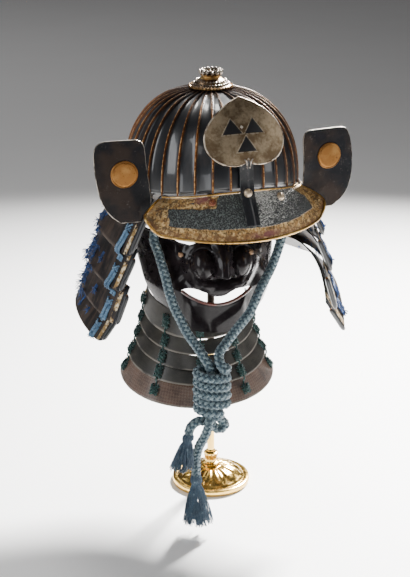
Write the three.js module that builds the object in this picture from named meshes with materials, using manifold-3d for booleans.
// Samurai helmet with its half mask and throat guard, on a round stand.
// Millimetres, +Z up. The origin is the middle of the stand's underside and the front faces -Y.
import * as THREE from 'three';
import { mergeVertices } from 'three/addons/utils/BufferGeometryUtils.js';
import Module from 'manifold-3d';

const wasm = await Module();
wasm.setup();

// ---- driving dimensions ---------------------------------------------------------------------

const GAP = 0.3;

const STAND = {
  radius: 52, edge: 8.5, height: 24, leaves: 12, leafDepth: 0.07,
  collarRadius: 10, collarTop: 44, postRadius: 4.75,
};
const REST = { bottom: 505, top: 531, radius: 40 };

const BOWL = {
  side: 104, front: 120, back: 112, top: 538, rimSide: 424, rimFront: 439, power: 2.4, wall: 2.2,
};
const RIB = { plates: 32, height: 4, foot: 4.2, narrowBelow: 75, lowBelow: 60, least: 0.3 };
// The bowl is built up from four groups of plates. Each ends with the rib at its far side.
const PLATE_GROUPS = [
  { name: 'bowl_front', from: -4, to: 4 },
  { name: 'bowl_right', from: 4, to: 12 },
  { name: 'bowl_back', from: 12, to: 20 },
  { name: 'bowl_left', from: 20, to: 28 },
];
const CROWN = { hole: 20, seat: 538.5, bore: 8 };
const FINIAL = {
  ringRadius: 28, ringTop: 542, tierTop: 550, cupRadius: 15.5, top: 562, petals: 14, petalDip: 0.9,
};

const VISOR = {
  side: 144, front: 145, low: 386, endTop: 55, endLow: 52, wall: 2, belly: 3,
  clear: 2.6, underRim: 4.2, sideRise: 7, cornerRise: 12, rim: 1.9, rimReach: 1.05, rimDrop: 0.07,
};
const MOULDING = { out: 2.4, drop: 2.1, radius: 1.5 };
const BAND = { bottom: 402, wall: 1.6, start: 66 };

const CREST = {
  halfWidth: 49, rise: 50, drop: 30.5, notch: 8.5, dome: 9, wall: 1.6, lean: 22,
  right: -4.5, ahead: 119, up: 498,
};
const HOLDER = { width: 13, wall: 2.4 };

// One row for each lame of the neck guard: how far its top and bottom stand off the bowl's plan, the
// angle of its front ends from the back, how far its bottom is shifted to the right, the heights of its
// lower edge at NECK_STATIONS, and how far its corners are rounded off. A station is a share of the way
// from the back, 0, to the left end, -1, or to the right end, 1.
const NECK = [
  { top: 2.5, low: 38, ends: 115, shift: 0, edge: [351, 366, 386, 368, 349], corner: 2.8 },
  { top: 25, low: 52, ends: 114.5, shift: 0, edge: [307, 322, 360, 328, 299], corner: 2.8 },
  { top: 40, low: 61, ends: 116, shift: 0, edge: [266, 289, 337, 304, 247], corner: 2.8 },
  { top: 46, low: 73, ends: 110.5, shift: 3, edge: [239, 262, 316, 288, 206], corner: 7 },
];
const NECK_STATIONS = [-1, -0.62, 0, 0.62, 1];
const NECK_LACING = [-0.93, -0.5, 0, 0.5, 0.93];
const LAME = { wall: 2, tuck: 9, frontReach: 150, topOfFirst: 422 };

const LACE = { lift: 3.9, radius: 1.5 };

// One row for each height of a turn-back, with its inner and outer edges from the middle plane. The two
// are bent by hand and differ.
const TURN_BACK_LEFT = [
  { up: 396, inner: 109, outer: 138 },
  { up: 405, inner: 104, outer: 149 },
  { up: 418, inner: 101, outer: 158 },
  { up: 436, inner: 103, outer: 164 },
  { up: 460, inner: 106.5, outer: 167.5 },
  { up: 478, inner: 108, outer: 168.5 },
  { up: 487, inner: 109.5, outer: 167 },
  { up: 492.5, inner: 113, outer: 163 },
  { up: 495, inner: 118, outer: 155 },
];
const TURN_BACK_RIGHT = [
  { up: 390, inner: 112, outer: 139 },
  { up: 399, inner: 104.5, outer: 153 },
  { up: 412, inner: 99, outer: 162 },
  { up: 430, inner: 98.5, outer: 166.5 },
  { up: 454, inner: 98, outer: 166.5 },
  { up: 472, inner: 96.5, outer: 163.5 },
  { up: 481, inner: 97, outer: 160.5 },
  { up: 486.5, inner: 99.5, outer: 156.5 },
  { up: 489, inner: 105, outer: 149 },
];
const EAR = {
  wall: 2.4, ahead: 62, sweep: 0.1, foldAhead: 59.2, foldLow: 415, foldHigh: 450,
  discRadius: 16.5, discRight: 133, discUp: 455, discThick: 1.6,
};

const VIEW_TURN = -21;
const MASK = {
  turn: -11, right: -8.4, ahead: -3.2, side: 86, front: 92, ends: 98, wall: 2,
  jaw: 0.85, chin: 0.97, jawFrom: 22, jawTo: 40, jawLow: 255, jawHigh: 308,
};
// One row for each angle from the mask's middle, with the heights of its two edges.
const MASK_EDGE = [
  { angle: 0, high: 376, low: 254 },
  { angle: 8, high: 371, low: 254.5 },
  { angle: 21, high: 361.5, low: 256 },
  { angle: 25, high: 361.5, low: 267 },
  { angle: 31, high: 363, low: 270 },
  { angle: 41, high: 368, low: 271 },
  { angle: 56, high: 371, low: 278 },
  { angle: 78, high: 372, low: 322 },
  { angle: 98, high: 370, low: 346 },
];
// One row for each height of the mask, with how far its middle line stands forward without the nose.
const MASK_PROFILE = [
  { up: 250, ahead: 96 },
  { up: 290, ahead: 103 },
  { up: 306, ahead: 103 },
  { up: 330, ahead: 95 },
  { up: 360, ahead: 86 },
  { up: 380, ahead: 82 },
];
const PEG = { right: 43, up: 352, radius: 2.4 };
const NOSE = {
  shift: 5, reach: 34, half: 16, tip: 336, bridge: 30, underside: 11,
  wing: 17, wingRight: 24, wingHalf: 11, wingHigh: 13,
};
const MOUTH = { half: 43, corner: 307, low: 292, lip: 304.5, arch: 314, roll: 2.1 };

// One row for each lame of the throat guard, from the chin down. The tuck is how far its top stands
// inside its lower edge.
const THROAT = [
  { side: 68, front: 97, high: 262, low: 243.5, endHigh: 284, endLow: 267, tuck: 6 },
  { side: 73, front: 104, high: 241, low: 225, endHigh: 264, endLow: 248, tuck: 10 },
  { side: 79, front: 111, high: 222.5, low: 207, endHigh: 243, endLow: 226, tuck: 11 },
  { side: 88, front: 117, high: 204.5, low: 189.5, endHigh: 220, endLow: 203, tuck: 13 },
  { side: 99, front: 124, high: 187, low: 162, endHigh: 197, endLow: 176, tuck: 15.5 },
];
// On the left the tops of the lower lames stand higher and close the gaps between them.
const GUARD = {
  turn: -17, right: -18.7, ahead: -7.2, endAhead: 25, wall: 1.8, leftRise: 4, riseFrom: 0.05, riseTo: 0.35,
};
const THROAT_LACING = [-0.93, -0.42, 0, 0.42, 0.93];

// The cord hangs in front of the throat guard. Each point is right, ahead and up, in a frame that is
// turned to the left by VIEW_TURN.
const CORD = { radius: 6, sides: 8, ahead: 146 };
const LEFT_STRAND = [
  [-56, 80, 407], [-62, 79, 392], [-69.4, 79, 368], [-64.5, 83, 353], [-59.5, 91, 338.5],
  [-55, 98, 325], [-51.4, 104, 311], [-43.5, 111, 288.5], [-36, 117, 275], [-28, 124, 260.8],
  [-17.5, 133, 249], [-9, 142, 239],
];
const RIGHT_STRAND = [
  [94, 49.6, 407], [93, 52, 390], [89, 56, 369], [84.5, 62, 354], [75.3, 69, 329],
  [68, 77, 316.5], [60.4, 86, 304.5], [48, 100, 280.5], [39, 109, 271], [29.4, 119, 262.5],
  [19, 130, 252], [10, 142, 241],
];
const BINDING = { side: 23.5, front: 18, low: 163, high: 232, right: 1.5 };
const KNOT = { side: 13.5, front: 9.5, right: 9.5, ahead: 141, up: 148.5, half: 13.5 };
const SHORT_TAIL = [
  [-9, 147, 155.5], [-15, 150, 157], [-21, 153, 154.5], [-25.5, 155.5, 149], [-27, 156.5, 143.2],
];
const LONG_TAIL = [
  [-1.5, 157.5, 162], [-3, 157.5, 152], [-8, 156, 138], [-14.5, 152, 123], [-18, 148, 107], [-18.3, 145, 82],
];
const SHORT_TASSEL = { right: -27, ahead: 156.5, up: 142, length: 48, spread: 12.5, drift: -10, locks: 9 };
const LONG_TASSEL = { right: -18.3, ahead: 145, up: 81, length: 66, spread: 20, drift: 2, locks: 12 };
const CORD_RING = { radius: 6.5, wire: 1.4, up: 415.6 };
const HANGER = { width: 10, height: 4, up: 345, postGap: 4, maskGap: 14 };

// ---- small helpers --------------------------------------------------------------------------

const { degToRad, lerp, clamp, smoothstep } = THREE.MathUtils;
const place = (right, ahead, up) => new THREE.Vector3(right, -ahead, up);
const bump = (distance, width) => Math.exp(-((distance / width) ** 2));

// Value of one column of a table at a place between its rows.
function between(rows, key, column, at) {
  if (at <= rows[0][key]) return rows[0][column];
  for (let i = 1; i < rows.length; i++) {
    if (at <= rows[i][key]) {
      const share = (at - rows[i - 1][key]) / (rows[i][key] - rows[i - 1][key]);
      return lerp(rows[i - 1][column], rows[i][column], share);
    }
  }
  return rows[rows.length - 1][column];
}

// Mesh from points and quads, with shared vertices merged, empty triangles dropped and faces turned out.
function solid(points, quads) {
  const triangles = quads.flatMap(([a, b, c, d]) => [a, b, c, a, c, d]);
  const geometry = new THREE.BufferGeometry();
  geometry.setAttribute('position', new THREE.Float32BufferAttribute(points.flatMap((p) => p.toArray()), 3));
  geometry.setIndex(triangles);
  return closed(geometry);
}

function closed(source) {
  const plain = new THREE.BufferGeometry();
  plain.setAttribute('position', source.getAttribute('position').clone());
  if (source.index) plain.setIndex(source.index.clone());
  const geometry = mergeVertices(plain, 1e-4);
  const index = geometry.index.array;
  const kept = [];
  for (let i = 0; i < index.length; i += 3) {
    const [a, b, c] = [index[i], index[i + 1], index[i + 2]];
    if (a !== b && b !== c && c !== a) kept.push(a, b, c);
  }
  geometry.setIndex(volume(geometry, kept) < 0 ? kept.reverse() : kept);
  return geometry;
}

function volume(geometry, index) {
  const position = geometry.getAttribute('position');
  const [a, b, c] = [new THREE.Vector3(), new THREE.Vector3(), new THREE.Vector3()];
  let sum = 0;
  for (let i = 0; i < index.length; i += 3) {
    a.fromBufferAttribute(position, index[i]);
    b.fromBufferAttribute(position, index[i + 1]);
    c.fromBufferAttribute(position, index[i + 2]);
    sum += a.dot(b.cross(c)) / 6;
  }
  return sum;
}

function normalAt(surface, u, v) {
  const step = 0.004;
  const [u0, u1] = [Math.max(u - step, 0), Math.min(u + step, 1)];
  const [v0, v1] = [Math.max(v - step, 0), Math.min(v + step, 1)];
  const across = surface(u1, v).sub(surface(u0, v));
  const along = surface(u, v1).sub(surface(u, v0));
  return across.cross(along).normalize();
}

// Wall of even thickness on both sides of a middle surface, with u and v from 0 to 1.
function wall(surface, columns, rows, thickness) {
  const points = [];
  for (const side of [thickness / 2, -thickness / 2]) {
    for (let row = 0; row <= rows; row++) {
      for (let column = 0; column <= columns; column++) {
        const [u, v] = [column / columns, row / rows];
        points.push(surface(u, v).addScaledVector(normalAt(surface, u, v), side));
      }
    }
  }
  const back = (columns + 1) * (rows + 1);
  const at = (column, row) => row * (columns + 1) + column;
  const quads = [];
  for (let row = 0; row < rows; row++) {
    for (let column = 0; column < columns; column++) {
      const face = [at(column, row), at(column + 1, row), at(column + 1, row + 1), at(column, row + 1)];
      quads.push(face, face.map((i) => i + back).reverse());
    }
    quads.push([at(0, row), at(0, row + 1), at(0, row + 1) + back, at(0, row) + back]);
    const [low, high] = [at(columns, row), at(columns, row + 1)];
    quads.push([high, low, low + back, high + back]);
  }
  for (let column = 0; column < columns; column++) {
    quads.push([at(column + 1, 0), at(column, 0), at(column, 0) + back, at(column + 1, 0) + back]);
    const [near, far] = [at(column, rows), at(column + 1, rows)];
    quads.push([near, far, far + back, near + back]);
  }
  return solid(points, quads);
}

// Ring whose section is a closed list of points at each of its columns.
function ring(sections) {
  const size = sections[0].length;
  const quads = [];
  for (let column = 0; column < sections.length; column++) {
    const next = (column + 1) % sections.length;
    for (let i = 0; i < size; i++) {
      const j = (i + 1) % size;
      quads.push([column * size + i, next * size + i, next * size + j, column * size + j]);
    }
  }
  return solid(sections.flat(), quads);
}

function turned(profile, segments) {
  const lathe = new THREE.LatheGeometry(profile.map(([r, z]) => new THREE.Vector2(r, z)), segments);
  return closed(lathe.rotateX(Math.PI / 2));
}

function tube(points, radius, sides, steps) {
  const section = new THREE.Shape();
  for (let i = 0; i < sides; i++) {
    const angle = (i * 2 * Math.PI) / sides;
    const corner = [radius * Math.cos(angle), radius * Math.sin(angle)];
    if (i === 0) section.moveTo(...corner);
    else section.lineTo(...corner);
  }
  const path = new THREE.CatmullRomCurve3(points, false, 'centripetal');
  return closed(new THREE.ExtrudeGeometry(section, { steps, extrudePath: path, bevelEnabled: false }));
}

function toSolid(geometry) {
  const vertProperties = new Float32Array(geometry.getAttribute('position').array);
  const triVerts = new Uint32Array(geometry.index.array);
  return new wasm.Manifold(new wasm.Mesh({ numProp: 3, vertProperties, triVerts }));
}

function fromSolid(manifold) {
  const mesh = manifold.getMesh();
  const geometry = new THREE.BufferGeometry();
  geometry.setAttribute('position', new THREE.Float32BufferAttribute(mesh.vertProperties, 3));
  geometry.setIndex([...mesh.triVerts]);
  return closed(geometry);
}

const join = (...parts) => fromSolid(parts.map(toSolid).reduce((sum, part) => sum.add(part)));
const cut = (part, tool) => fromSolid(toSolid(part).subtract(toSolid(tool)));

// ---- materials ------------------------------------------------------------------------------

const finish = (color, roughness, metalness) =>
  new THREE.MeshStandardMaterial({ color, roughness, metalness });
const lacquer = finish(0x14161a, 0.25, 0.1);
const browned = finish(0x2b2622, 0.55, 0.1);
const gilt = finish(0xb98a3c, 0.35, 0.9);
const stand = finish(0xd9b04a, 0.25, 1);
const silvered = finish(0x8f8468, 0.4, 0.8);
const leather = finish(0x8a6d3e, 0.7, 0);
const blueSilk = finish(0x1f4a86, 0.8, 0);
const greenSilk = finish(0x1d4a45, 0.8, 0);
const braid = finish(0x5a7488, 0.85, 0);
const ironPlain = finish(0x3a3a3c, 0.5, 0.6);

const kabuto = new THREE.Group();

function add(name, geometry, material, group = kabuto) {
  const mesh = new THREE.Mesh(geometry, material);
  mesh.name = name;
  group.add(mesh);
  return mesh;
}

function turnedGroup(turn, right = 0, ahead = 0) {
  const group = new THREE.Group();
  group.rotation.z = degToRad(turn);
  group.position.copy(place(right, ahead, 0));
  kabuto.add(group);
  return group;
}

// ---- stand ----------------------------------------------------------------------------------

// The dome's skirt is cast with leaves, so its radius swells and falls around it.
function standBase() {
  const { radius, edge, height, collarRadius, leaves, leafDepth } = STAND;
  const profile = [
    [0, 0], [radius, 0], [radius, edge - 2], [radius - 2, edge], [radius - 7, edge], [radius - 9, edge + 2],
    [radius - 17, edge + 8], [radius - 30, edge + 11.5], [collarRadius + 2, height], [0, height],
  ];
  const geometry = turned(profile, leaves * 2);
  const position = geometry.getAttribute('position');
  for (let i = 0; i < position.count; i++) {
    const [x, y, z] = [position.getX(i), position.getY(i), position.getZ(i)];
    const skirt = bump(z - edge - 6, 5);
    const swell = 1 + leafDepth * skirt * Math.cos(leaves * Math.atan2(y, x));
    if (z > edge + 0.1) position.setXY(i, x * swell, y * swell);
  }
  return geometry;
}

function standCollar() {
  const { height, collarRadius: r, collarTop } = STAND;
  const low = height + GAP;
  const profile = [
    [0, low], [r - 2, low], [r, low + 3], [r - 3, low + 7],
    [r - 1.5, collarTop - 6], [r, collarTop - 2], [r - 2, collarTop], [0, collarTop],
  ];
  return turned(profile, 18);
}

function headRest() {
  const { bottom, top, radius } = REST;
  const profile = [
    [0, bottom], [radius - 6, bottom], [radius, bottom + 8],
    [radius - 4, top - 7], [radius - 20, top], [0, top],
  ];
  return turned(profile, 20);
}

function standPost() {
  const { postRadius: r, collarTop } = STAND;
  const [low, high] = [collarTop + GAP, REST.bottom - GAP];
  return turned([[0, low], [r, low], [r, high], [0, high]], 16);
}

add('stand_base', standBase(), stand);
add('stand_collar', standCollar(), stand);
add('stand_post', standPost(), stand);
add('head_rest', headRest(), ironPlain);

// ---- bowl -----------------------------------------------------------------------------------

const rimHeight = (angle) => lerp(BOWL.rimSide, BOWL.rimFront, Math.max(0, Math.cos(angle)) ** 3);
const bowlDepth = (angle) => (Math.cos(angle) > 0 ? BOWL.front : BOWL.back);

// Point of the bowl, with the angle from the front and the slope from the rim, 0, to the crown, 90 degrees.
function bowlPoint(angle, slope, lift = 0) {
  const out = Math.cos(slope) ** (2 / BOWL.power);
  const rise = Math.sin(slope) ** (2 / BOWL.power);
  const right = BOWL.side * Math.sin(angle);
  const ahead = bowlDepth(angle) * Math.cos(angle);
  const low = rimHeight(angle);
  const point = place(right * out, ahead * out, lerp(low, BOWL.top, rise));
  const level = Math.cos(slope);
  const away = place(level * Math.sin(angle), level * Math.cos(angle), Math.sin(slope));
  return point.addScaledVector(away.normalize(), lift);
}

const crownSlope = Math.acos((CROWN.hole / BOWL.side) ** (BOWL.power / 2));

// Columns of a plate group's outside: three for each standing rib, and three on the wide front plate.
function plateColumns({ from, to }) {
  const columns = [{ rib: from, across: RIB.foot / 2, height: 0, shift: GAP }];
  for (let rib = from + 1; rib <= to; rib++) {
    if (rib === 0) {
      [-0.5, 0, 0.5].forEach((share) => columns.push({ rib: share, across: 0, height: 0, shift: 0 }));
      continue;
    }
    columns.push({ rib, across: -RIB.foot / 2, height: 0, shift: 0 });
    columns.push({ rib, across: 0, height: RIB.height, shift: 0 });
    columns.push({ rib, across: RIB.foot / 2, height: 0, shift: 0 });
  }
  return columns;
}

// A group of plates, with one row of points inside for every two outside.
function plateGroup(group) {
  const rows = 6;
  const step = (2 * Math.PI) / RIB.plates;
  const outside = [];
  const inside = [];
  for (const { rib, across, height, shift } of plateColumns(group)) {
    const [outer, inner] = [[], []];
    for (let row = 0; row <= rows; row++) {
      const slope = (crownSlope * row) / rows;
      const radius = BOWL.side * Math.cos(slope) ** (2 / BOWL.power);
      const narrow = clamp(radius / RIB.narrowBelow, RIB.least, 1);
      const angle = rib * step + (across * narrow + shift) / radius;
      const fade = row === rows ? 0 : clamp(radius / RIB.lowBelow, RIB.least, 1);
      outer.push(bowlPoint(angle, slope, height * fade));
      if (row % 2 === 0) inner.push(bowlPoint(angle, slope, -BOWL.wall));
    }
    outside.push(outer);
    inside.push(inner);
  }
  return shell(outside, inside);
}

// Closed shell of two grids of points, where the second has every second row of the first.
function shell(outside, inside) {
  const [columns, rows] = [outside.length, outside[0].length - 1];
  const innerRows = inside[0].length;
  const start = columns * (rows + 1);
  const outer = (column, row) => column * (rows + 1) + row;
  const inner = (column, row) => start + column * innerRows + row / 2;
  const quads = [];
  for (let column = 0; column < columns - 1; column++) {
    const next = column + 1;
    for (let row = 0; row < rows; row++) {
      quads.push([outer(column, row), outer(next, row), outer(next, row + 1), outer(column, row + 1)]);
    }
    for (let row = 0; row < rows; row += 2) {
      quads.push([inner(next, row), inner(column, row), inner(column, row + 2), inner(next, row + 2)]);
    }
    quads.push([outer(next, 0), outer(column, 0), inner(column, 0), inner(next, 0)]);
    quads.push([outer(column, rows), outer(next, rows), inner(next, rows), inner(column, rows)]);
  }
  const last = columns - 1;
  for (let row = 0; row < rows; row += 2) {
    quads.push([outer(0, row), outer(0, row + 1), inner(0, row + 2), inner(0, row)]);
    quads.push([outer(0, row + 1), outer(0, row + 2), inner(0, row + 2), inner(0, row + 2)]);
    quads.push([outer(last, row + 1), outer(last, row), inner(last, row), inner(last, row + 2)]);
    quads.push([outer(last, row + 2), outer(last, row + 1), inner(last, row + 2), inner(last, row + 2)]);
  }
  return solid([...outside.flat(), ...inside.flat()], quads);
}

function waistBand() {
  const surface = (u, v) => {
    const angle = degToRad(lerp(BAND.start, 360 - BAND.start, u));
    const edge = rimHeight(angle) - GAP - 0.2;
    const inset = BAND.wall / 2 + 0.6;
    const [right, ahead] = [BOWL.side - inset, bowlDepth(angle) - inset];
    return place(right * Math.sin(angle), ahead * Math.cos(angle), lerp(BAND.bottom, edge, v));
  };
  return wall(surface, 26, 1, BAND.wall);
}

PLATE_GROUPS.forEach((group) => add(group.name, plateGroup(group), lacquer));
add('waist_band', waistBand(), browned);

// ---- finial on the crown --------------------------------------------------------------------

function finialBase() {
  const { ringRadius: r, ringTop: high } = FINIAL;
  const low = CROWN.seat;
  const bore = CROWN.bore;
  const middle = (low + high) / 2;
  const profile = [[bore, low], [r - 1.5, low], [r, middle], [r - 1.5, high], [bore, high], [bore, low]];
  return turned(profile, 24);
}

function finialTiers() {
  const [low, high] = [FINIAL.ringTop + GAP, FINIAL.tierTop];
  const profile = [
    [CROWN.bore, low], [22, low], [22.5, low + 1.5], [20, low + 2.5], [20, low + 4], [17.5, low + 5],
    [13, high], [CROWN.bore, high], [CROWN.bore, low],
  ];
  return turned(profile, 20);
}

function finialCup() {
  const { petals, petalDip, cupRadius, top, tierTop } = FINIAL;
  const low = tierTop + GAP;
  const sections = [];
  for (let i = 0; i < petals * 2; i++) {
    const angle = (i * Math.PI) / petals;
    const dip = i % 2 ? petalDip : 1;
    const at = (radius, up) => place(radius * Math.sin(angle), radius * Math.cos(angle), up);
    sections.push([at(CROWN.bore, low), at(12 * dip, low), at(11, low + 3), at(cupRadius * dip, low + 7),
      at(cupRadius * dip, top - 2), at((cupRadius - 2) * dip, top - (i % 2)), at(CROWN.bore, top - 4)]);
  }
  return ring(sections);
}

add('finial_base', finialBase(), gilt);
add('finial_tiers', finialTiers(), silvered);
add('finial_cup', finialCup(), gilt);

// ---- visor ----------------------------------------------------------------------------------

// Point of the visor, with side from its left end, -1, to its right end, 1, and down from its top, 0, to
// its edge, 1.
function visorPoint(side, down, beyond = 0) {
  const share = down + beyond;
  const end = lerp(VISOR.endTop, VISOR.endLow, down ** 0.8);
  const angle = degToRad(side * end);
  const top = rimHeight(angle) - VISOR.underRim;
  const corner = VISOR.cornerRise * clamp((Math.abs(side) - 0.84) / 0.16, 0, 1) ** 2;
  const low = VISOR.low + VISOR.sideRise * side * side + corner;
  const belly = VISOR.belly * Math.sin(Math.PI * clamp(share, 0, 1));
  const right = lerp(BOWL.side + VISOR.clear, VISOR.side, share) + belly;
  const ahead = lerp(BOWL.front + VISOR.clear, VISOR.front, share) + belly;
  return place(right * Math.sin(angle), ahead * Math.cos(angle), lerp(top, low, share));
}

function visorRim() {
  const { rim, rimReach, rimDrop } = VISOR;
  const sides = [0.05, 0.35, 0.6, 0.85];
  const bottom = 16;
  const points = sides.map((down) => visorPoint(-rimReach, down));
  for (let i = 0; i <= bottom; i++) points.push(visorPoint(lerp(-1, 1, i / bottom), 1, rimDrop));
  points.push(...sides.reverse().map((down) => visorPoint(rimReach, down)));
  return tube(points, rim, 6, 36);
}

function visorMoulding() {
  const points = [];
  for (let i = 0; i <= 14; i++) {
    const angle = degToRad(lerp(-56, 56, i / 14));
    const [right, ahead] = [BOWL.side + MOULDING.out, BOWL.front + MOULDING.out];
    points.push(place(right * Math.sin(angle), ahead * Math.cos(angle), rimHeight(angle) - MOULDING.drop));
  }
  return tube(points, MOULDING.radius, 5, 22);
}

function rivet(side, down, radius, height) {
  const point = visorPoint(side, down);
  const away = normalAt((u, v) => visorPoint(lerp(-1, 1, u), v), (side + 1) / 2, down);
  if (away.dot(point.clone().setZ(0)) < 0) away.negate();
  const dome = turned([[0, 0], [radius, 0], [radius, height * 0.3], [radius * 0.6, height], [0, height]], 10);
  const turn = new THREE.Quaternion().setFromUnitVectors(new THREE.Vector3(0, 0, 1), away);
  dome.applyQuaternion(turn);
  dome.translate(...point.addScaledVector(away, VISOR.wall / 2 + GAP).toArray());
  return dome;
}

add('visor', wall((u, v) => visorPoint(lerp(-1, 1, u), v), 22, 4, VISOR.wall), leather);
add('visor_rim', visorRim(), gilt);
add('visor_moulding', visorMoulding(), gilt);
add('rivet_left', rivet(-0.41, 0.14, 4.2, 2.2), gilt);
add('rivet_right', rivet(0.4, 0.16, 4.6, 4), gilt);

// ---- crest and its holder -------------------------------------------------------------------

// Leaf-shaped plate with its tip up and a notch below, and how far it is domed.
function crestPoint(u, v) {
  const side = Math.sin(Math.PI * (u - 0.5)) * 0.995;
  const share = Math.abs(side);
  const high = CREST.rise * (1 - share ** 1.12) ** 0.5;
  const notch = CREST.notch * Math.exp(-share / 0.09);
  const low = notch - CREST.drop * (1 - share ** 3.2) ** 0.55;
  const up = lerp(low, high, v);
  const dome = CREST.dome * (1 - share * share) * (1 - ((up - 6) / 46) ** 2);
  const lean = degToRad(CREST.lean);
  const point = new THREE.Vector3(CREST.halfWidth * side, -dome, up);
  point.applyAxisAngle(new THREE.Vector3(1, 0, 0), -lean);
  return point.add(place(CREST.right, CREST.ahead, CREST.up));
}

// Flat strap that is fixed on the visor, stands clear of the rim and carries the crest.
function crestHolder() {
  const path = new THREE.CatmullRomCurve3([
    place(-1, 143.4, 400), place(-2, 138.3, 413), place(-3, 132.2, 427), place(-3.4, 128.2, 439),
    place(-4, 126.4, 458), place(-4.3, 126.4, 486),
  ]);
  const surface = (u, v) => path.getPoint(v).add(place(lerp(-HOLDER.width / 2, HOLDER.width / 2, u), 0, 0));
  return wall(surface, 2, 8, HOLDER.wall);
}

add('crest', wall(crestPoint, 22, 4, CREST.wall), silvered);
add('crest_holder', crestHolder(), ironPlain);

// ---- neck guard and turn-backs --------------------------------------------------------------

// Height of a lame's lower edge at a turn from the left end, -1, over the back, 0, to the right end, 1.
function lowerEdge(row, turn) {
  const next = clamp(NECK_STATIONS.findIndex((station) => turn <= station), 1, 4);
  const [from, to] = [NECK_STATIONS[next - 1], NECK_STATIONS[next]];
  const share = (turn - from) / (to - from);
  const smooth = smoothstep(share, 0, 1);
  const eased = [1 - (1 - share) ** 1.8, smooth, smooth, share ** 1.8][next - 1];
  return lerp(row.edge[next - 1], row.edge[next], eased);
}

const upperEdge = (index, turn) =>
  index === 0 ? LAME.topOfFirst : lowerEdge(NECK[index - 1], turn) + LAME.tuck;

// Point of a lame, with the turn from end to end and the share of its height from the top.
function neckPoint(index, turn, down, lift = 0) {
  const row = NECK[index];
  const angle = degToRad(turn * row.ends);
  const off = lerp(row.top, row.low, down) + lift;
  const depth = Math.cos(angle) > 0 ? BOWL.back + off : LAME.frontReach;
  const corner = row.corner * clamp((Math.abs(turn) - 0.95) / 0.05, 0, 1) ** 2;
  const low = lowerEdge(row, turn) + corner;
  const right = (BOWL.side + off) * Math.sin(angle) + row.shift * down;
  return place(right, -depth * Math.cos(angle), lerp(upperEdge(index, turn), low, down));
}

function neckLame(index) {
  return wall((u, v) => neckPoint(index, lerp(-1, 1, u), v), 26, 2, LAME.wall);
}

// Half of the turned-back end of the top lame, which folds round to face forward.
function turnBack(side, rows) {
  const surface = (u, v) => {
    const row = v * (rows.length - 1);
    const [from, to] = [rows[Math.floor(row)], rows[Math.ceil(row)]];
    const share = row - Math.floor(row);
    const up = lerp(from.up, to.up, share);
    const inner = lerp(from.inner, to.inner, share);
    const outer = lerp(from.outer, to.outer, share);
    const right = lerp(inner, outer, u);
    const folded = (1 - smoothstep(u, 0, 0.3)) * (1 - smoothstep(up, EAR.foldLow, EAR.foldHigh));
    const fold = (EAR.foldAhead - EAR.ahead) * folded;
    const ahead = EAR.ahead + fold - EAR.sweep * (right - EAR.discRight);
    return place(side * right, ahead, up);
  };
  return wall(surface, 6, rows.length - 1, EAR.wall);
}

function turnBackDisc(side) {
  const { discRadius: r, discThick: thick } = EAR;
  const disc = turned([[0, 0], [r, 0], [r, thick / 2], [r - 1.5, thick], [0, thick]], 20);
  const facing = place(side * EAR.sweep, 1, 0).normalize();
  disc.applyQuaternion(new THREE.Quaternion().setFromUnitVectors(new THREE.Vector3(0, 0, 1), facing));
  const seat = place(side * EAR.discRight, EAR.ahead, EAR.discUp);
  disc.translate(...seat.addScaledVector(facing, EAR.wall / 2 + GAP + 0.3).toArray());
  return disc;
}

// Strip of lacing that runs down over the outside of all the lames.
function neckLacing(turn) {
  const points = [neckPoint(0, turn, 0.55, LACE.lift)];
  for (let index = 0; index < NECK.length; index++) {
    points.push(neckPoint(index, turn, 0.78, LACE.lift));
    if (index < NECK.length - 1) points.push(neckPoint(index, turn, 1, LACE.lift));
  }
  return tube(points, LACE.radius, 5, 11);
}

const turnBacks = [turnBack(-1, TURN_BACK_LEFT), turnBack(1, TURN_BACK_RIGHT)];
add('neck_lame_1', join(neckLame(0), ...turnBacks), lacquer);
for (let index = 1; index < NECK.length; index++) add(`neck_lame_${index + 1}`, neckLame(index), browned);
add('turn_back_disc_left', turnBackDisc(-1), gilt);
add('turn_back_disc_right', turnBackDisc(1), gilt);
NECK_LACING.forEach((turn, i) => add(`neck_lacing_${i + 1}`, neckLacing(turn), blueSilk));

// ---- half mask ------------------------------------------------------------------------------

const maskGroup = turnedGroup(MASK.turn, MASK.right, MASK.ahead);

function noseReach(right, up) {
  const { shift, reach, half, tip, bridge, underside, wing, wingRight, wingHalf, wingHigh } = NOSE;
  const across = right - shift;
  const above = bump(up - tip, up > tip ? bridge : underside);
  const ridge = reach * bump(across, half) * above;
  const wings = wing * bump(Math.abs(across) - wingRight, wingHalf) * bump(up - tip + 1, wingHigh);
  return ridge + wings;
}

function maskPoint(u, v) {
  const angle = lerp(-MASK.ends, MASK.ends, u);
  const high = between(MASK_EDGE, 'angle', 'high', Math.abs(angle));
  const low = between(MASK_EDGE, 'angle', 'low', Math.abs(angle));
  const up = lerp(high, low, v);
  const ahead = between(MASK_PROFILE, 'up', 'ahead', up);
  const taper = lerp(MASK.chin, MASK.jaw, smoothstep(Math.abs(angle), MASK.jawFrom, MASK.jawTo));
  const narrow = lerp(taper, 1, smoothstep(up, MASK.jawLow, MASK.jawHigh));
  const right = MASK.side * Math.sin(degToRad(angle)) * narrow;
  return place(right, ahead * Math.cos(degToRad(angle)) + noseReach(right, up), up);
}

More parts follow.
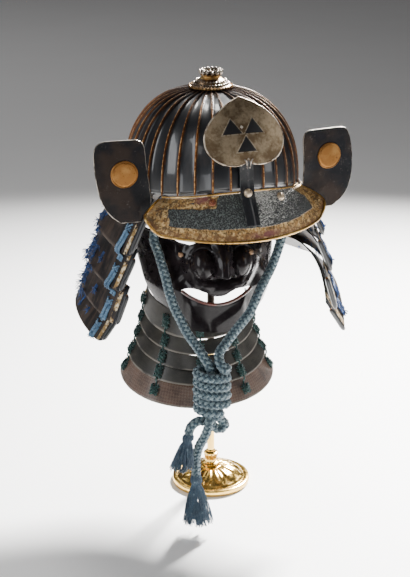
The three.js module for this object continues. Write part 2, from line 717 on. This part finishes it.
function mouthSlit() {
  const { half, corner, low, lip, arch } = MOUTH;
  const shape = new THREE.Shape();
  shape.moveTo(-half, corner);
  shape.quadraticCurveTo(0, 2 * low - corner, half, corner);
  shape.quadraticCurveTo(half * 0.5, arch + 4, half * 0.25, lip + 3);
  shape.quadraticCurveTo(0, lip - 3, -half * 0.25, lip + 3);
  shape.quadraticCurveTo(-half * 0.5, arch + 4, -half, corner);
  const slit = new THREE.ExtrudeGeometry(shape, { depth: 90, bevelEnabled: false, curveSegments: 6 });
  return closed(slit.rotateX(Math.PI / 2).translate(0, -50, 0));
}

// Rolled lip along the lower side of the mouth.
function lowerLip() {
  const points = [];
  for (let i = 0; i <= 10; i++) {
    const right = lerp(-MOUTH.half + 2, MOUTH.half - 2, i / 10);
    const up = MOUTH.low + (MOUTH.corner - MOUTH.low) * (right / MOUTH.half) ** 2 - 0.8;
    const angle = Math.asin(right / MASK.side);
    points.push(place(right, between(MASK_PROFILE, 'up', 'ahead', up) * Math.cos(angle) + 0.4, up));
  }
  return tube(points, MOUTH.roll, 6, 14);
}

function maskPeg(side) {
  const { right, up, radius } = PEG;
  const plain = between(MASK_PROFILE, 'up', 'ahead', up) * Math.cos(Math.asin(right / MASK.side));
  const skin = plain + noseReach(side * right, up);
  const peg = turned([[0, 0], [radius, 0], [radius, 6], [radius + 1.2, 6.5], [radius + 1.2, 8], [0, 8]], 8);
  return peg.rotateX(Math.PI / 2).translate(side * right, -(skin + MASK.wall + 2.5), up);
}

const maskShell = wall(maskPoint, 22, 12, MASK.wall);
add('face_mask', join(cut(maskShell, mouthSlit()), lowerLip()), lacquer, maskGroup);
add('mask_peg_left', maskPeg(-1), gilt, maskGroup);
add('mask_peg_right', maskPeg(1), gilt, maskGroup);

// ---- throat guard ---------------------------------------------------------------------------

const throatGroup = turnedGroup(GUARD.turn, GUARD.right, GUARD.ahead);

function throatPoint(index, turn, down, lift = 0) {
  const row = THROAT[index];
  const angle = (turn * Math.PI) / 2;
  const end = Math.abs(turn) ** 2.2;
  const flare = lerp(-row.tuck, 0, down) + lift;
  const rise = index > 0 ? GUARD.leftRise * smoothstep(-turn, GUARD.riseFrom, GUARD.riseTo) : 0;
  const up = lerp(lerp(row.high, row.endHigh, end) + rise, lerp(row.low, row.endLow, end), down);
  const ahead = GUARD.endAhead + (row.front + flare - GUARD.endAhead) * Math.cos(angle);
  return place((row.side + flare) * Math.sin(angle), ahead, up);
}

function throatLacing(turn) {
  const points = [throatPoint(0, turn, 0.72, LACE.lift)];
  for (let index = 0; index < THROAT.length; index++) {
    if (index > 0) points.push(throatPoint(index, turn, 0.5, LACE.lift));
    if (index < THROAT.length - 1) points.push(throatPoint(index, turn, 1, LACE.lift));
  }
  return tube(points, LACE.radius, 5, 13);
}

THROAT.forEach((row, index) => {
  const lame = wall((u, v) => throatPoint(index, lerp(-1, 1, u), v), 18, 1, GUARD.wall);
  add(`throat_lame_${index + 1}`, lame, browned, throatGroup);
});
THROAT_LACING.forEach((turn, i) => {
  add(`throat_lacing_${i + 1}`, throatLacing(turn), greenSilk, throatGroup);
});

// ---- cord -----------------------------------------------------------------------------------

const cordGroup = turnedGroup(VIEW_TURN);
const route = (points) => points.map(([right, ahead, up]) => place(right, ahead, up));

function binding() {
  const { side, front, low, high, right } = BINDING;
  const round = turned([[0, 0], [0.8, 0], [1, 0.06], [1, 0.94], [0.8, 1], [0, 1]], 16);
  round.scale(side, front, high - low);
  return round.translate(right, -CORD.ahead, low);
}

function knot() {
  const ball = turned([[0, -1], [0.6, -0.8], [1, -0.25], [1, 0.25], [0.6, 0.8], [0, 1]], 12);
  ball.scale(KNOT.side, KNOT.front, KNOT.half);
  return ball.translate(KNOT.right, -KNOT.ahead, KNOT.up);
}

// Bound head with a skirt of hanging locks.
function tassel({ right, ahead, up, length, spread, drift, locks }) {
  const sections = [];
  for (let i = 0; i < locks * 2; i++) {
    const angle = (i * Math.PI) / locks;
    const dip = i % 2 ? 0.86 : 1;
    const at = (radius, down) => {
      const sideways = right + radius * Math.sin(angle) + drift * (down / length);
      return place(sideways, ahead + radius * 0.8 * Math.cos(angle), up - down);
    };
    sections.push([
      at(0, 0), at(5, 0.5), at(7, length * 0.14), at(6, length * 0.22),
      at(spread * 0.75 * dip, length * 0.5), at(spread * dip, length - (i % 2 ? 3 : 0)),
      at(spread * 0.6, length - 2), at(0, length - 3),
    ]);
  }
  const size = sections[0].length;
  const quads = [];
  sections.forEach((section, column) => {
    const next = (column + 1) % sections.length;
    for (let i = 0; i < size - 1; i++) {
      quads.push([column * size + i, next * size + i, next * size + i + 1, column * size + i + 1]);
    }
  });
  return solid(sections.flat(), quads);
}

function cordRing(right, ahead) {
  const torus = closed(new THREE.TorusGeometry(CORD_RING.radius, CORD_RING.wire, 5, 10));
  torus.rotateX(Math.PI / 2);
  return torus.translate(right, -ahead, CORD_RING.up);
}

const tubeAlong = (points, steps) => tube(route(points), CORD.radius, CORD.sides, steps);
add('cord_left', tubeAlong(LEFT_STRAND, 16), braid, cordGroup);
add('cord_right', tubeAlong(RIGHT_STRAND, 16), braid, cordGroup);
add('cord_binding', binding(), braid, cordGroup);
add('cord_knot', knot(), braid, cordGroup);
add('cord_tail_short', tubeAlong(SHORT_TAIL, 4), braid, cordGroup);
add('cord_tail_long', tubeAlong(LONG_TAIL, 8), braid, cordGroup);
add('tassel_short', tassel(SHORT_TASSEL), braid, cordGroup);
add('tassel_long', tassel(LONG_TASSEL), braid, cordGroup);
add('cord_ring_left', cordRing(...LEFT_STRAND[0]), ironPlain, cordGroup);
add('cord_ring_right', cordRing(...RIGHT_STRAND[0]), ironPlain, cordGroup);

// ---- plain bar inside the mask, which carries it from the post --------------------------------

function maskHanger() {
  const start = STAND.postRadius + HANGER.postGap;
  const end = MASK.front - HANGER.maskGap;
  const bar = new THREE.BoxGeometry(HANGER.width, end - start, HANGER.height);
  return closed(bar.translate(0, -(start + end) / 2, HANGER.up));
}
add('mask_hanger', maskHanger(), ironPlain, maskGroup);

export default kabuto;
